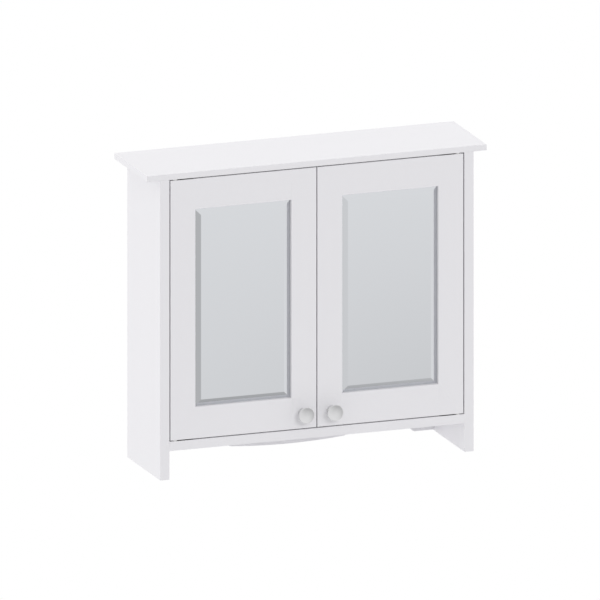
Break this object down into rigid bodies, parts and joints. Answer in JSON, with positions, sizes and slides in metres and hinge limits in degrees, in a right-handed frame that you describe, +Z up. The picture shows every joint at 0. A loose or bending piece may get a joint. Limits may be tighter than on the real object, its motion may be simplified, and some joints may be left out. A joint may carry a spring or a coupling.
{
  "type": "wall mirror cabinet",
  "caption": "Wall-hung white cabinet with a thin overhanging top, inset framed mirror doors on hidden pin hinges, an inner shelf and a scalloped rear rail.",
  "frame": {"origin": "midway between the two wall screw holes, on the rear plane that lies against the wall", "axes": "+X to the viewer's right along the front, +Y into the wall, +Z up"},
  "size_m": [0.6, 0.181, 0.525],
  "materials": {
    "white_paint": "satin white lacquer on fibreboard",
    "white_board": "thin white-faced fibreboard",
    "mirror_glass": "silvered glass with a polished bevel",
    "hardboard": "plain brown hardboard",
    "satin_nickel": "satin nickel plating",
    "steel": "zinc-plated steel",
    "zinc": "die-cast zinc",
    "beech": "plain beech",
    "white_plastic": "moulded white plastic",
    "ferrite": "dark magnet"
  },
  "bodies": {
    "cabinet": {"top_board": "white_paint", "left_side": "white_paint", "right_side": "white_paint", "bottom_panel": "white_paint", "back_panel": "white_board", "hanging_rail": "white_paint", "scalloped_rail": "white_paint", "shelf": "white_paint", "shelf_pins": "steel", "cam_bolts": "steel", "cam_discs": "zinc", "dowels": "beech", "catch_housing": "white_plastic", "catch_magnets": "ferrite", "catch_screws": "steel", "fixed_hinge_leaves": "steel", "hinge_pins": "steel", "hinge_washers": "white_plastic", "fixed_hinge_screws": "steel"},
    "left_door": {"left_hinge_stile": "white_paint", "left_meeting_stile": "white_paint", "left_top_rail": "white_paint", "left_bottom_rail": "white_paint", "left_mirror": "mirror_glass", "left_backing_board": "hardboard", "left_beads": "white_paint", "left_knob": "satin_nickel", "left_knob_screw": "steel", "left_strike_plate": "steel", "left_strike_screw": "steel", "left_door_leaves": "steel", "left_leaf_screws": "steel"},
    "right_door": {"right_hinge_stile": "white_paint", "right_meeting_stile": "white_paint", "right_top_rail": "white_paint", "right_bottom_rail": "white_paint", "right_mirror": "mirror_glass", "right_backing_board": "hardboard", "right_beads": "white_paint", "right_knob": "satin_nickel", "right_knob_screw": "steel", "right_strike_plate": "steel", "right_strike_screw": "steel", "right_door_leaves": "steel", "right_leaf_screws": "steel"}
  },
  "joints": [
    {"name": "left_door_hinge", "type": "hinge", "parent": "cabinet", "child": "left_door", "pos_m": [-0.2495, -0.155, 0], "axis": [0, 0, -1], "range_deg": [0, 110]},
    {"name": "right_door_hinge", "type": "hinge", "parent": "cabinet", "child": "right_door", "pos_m": [0.2495, -0.155, 0], "axis": [0, 0, 1], "range_deg": [0, 110]}
  ]
}
